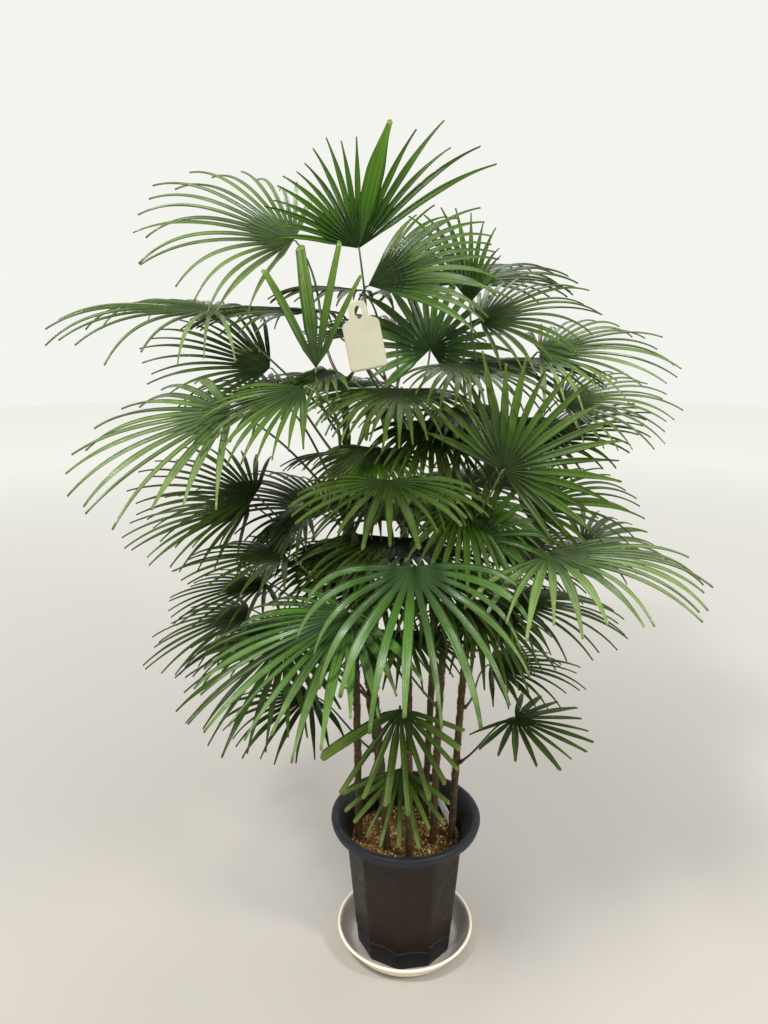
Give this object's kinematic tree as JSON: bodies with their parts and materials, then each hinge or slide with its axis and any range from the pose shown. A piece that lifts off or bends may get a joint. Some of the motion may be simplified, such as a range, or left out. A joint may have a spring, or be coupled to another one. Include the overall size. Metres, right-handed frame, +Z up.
{
  "type": "potted lady palm",
  "caption": "Lady palm, a clump of thin fibrous canes with fan-shaped fronds, in a faceted nursery pot with a wide round rim on a saucer, with a blank hanging tag.",
  "frame": {"origin": "centre of the saucer's flat underside", "axes": "+Z up, +X to the right as seen from the front, +Y to the back"},
  "size_m": [1.1134, 1.0455, 1.6233],
  "materials": {
    "foliage": "satin leaf, deep green",
    "cane": "matte, brown fibre",
    "pot": "matte, near black",
    "saucer": "smooth, off-white",
    "soil": "loose brown bark and soil",
    "tag": "plain cream paper",
    "label": "matte, pale grey"
  },
  "bodies": {
    "root": {"cane_back_left": "cane", "cane_back_right": "cane", "cane_front_left": "cane", "cane_left": "cane", "cane_middle": "cane", "cane_right": "cane", "cane_right_middle": "cane", "cane_young": "cane", "frond_back_left_1": "foliage", "frond_back_left_2": "foliage", "frond_back_left_3": "foliage", "frond_back_left_4": "foliage", "frond_back_left_5": "foliage", "frond_back_left_6": "foliage", "frond_front_left_1": "foliage", "frond_front_left_2": "foliage", "frond_front_left_3": "foliage", "frond_front_left_4": "foliage", "frond_left_1": "foliage", "frond_left_2": "foliage", "frond_left_3": "foliage", "frond_left_4": "foliage", "frond_left_5": "foliage", "frond_left_6": "foliage", "frond_left_7": "foliage", "frond_left_8": "foliage", "frond_left_9": "foliage", "frond_middle_1": "foliage", "frond_middle_2": "foliage", "frond_middle_3": "foliage", "frond_middle_4": "foliage", "frond_middle_5": "foliage", "frond_right_1": "foliage", "frond_right_2": "foliage", "frond_right_3": "foliage", "frond_right_4": "foliage", "frond_right_5": "foliage", "frond_right_6": "foliage", "frond_right_7": "foliage", "frond_right_8": "foliage", "frond_right_9": "foliage", "frond_right_middle_1": "foliage", "frond_right_middle_2": "foliage", "frond_right_middle_3": "foliage", "frond_right_middle_4": "foliage", "frond_young_1": "foliage", "frond_young_2": "foliage", "fronds_back_1": "foliage", "fronds_back_2": "foliage", "fronds_back_3": "foliage", "fronds_back_4": "foliage", "fronds_back_5": "foliage", "fronds_inner_1": "foliage", "fronds_inner_2": "foliage", "label_1": "label", "label_2": "label", "pot": "pot", "saucer": "saucer", "soil": "soil", "tag": "tag"}
  },
  "joints": []
}
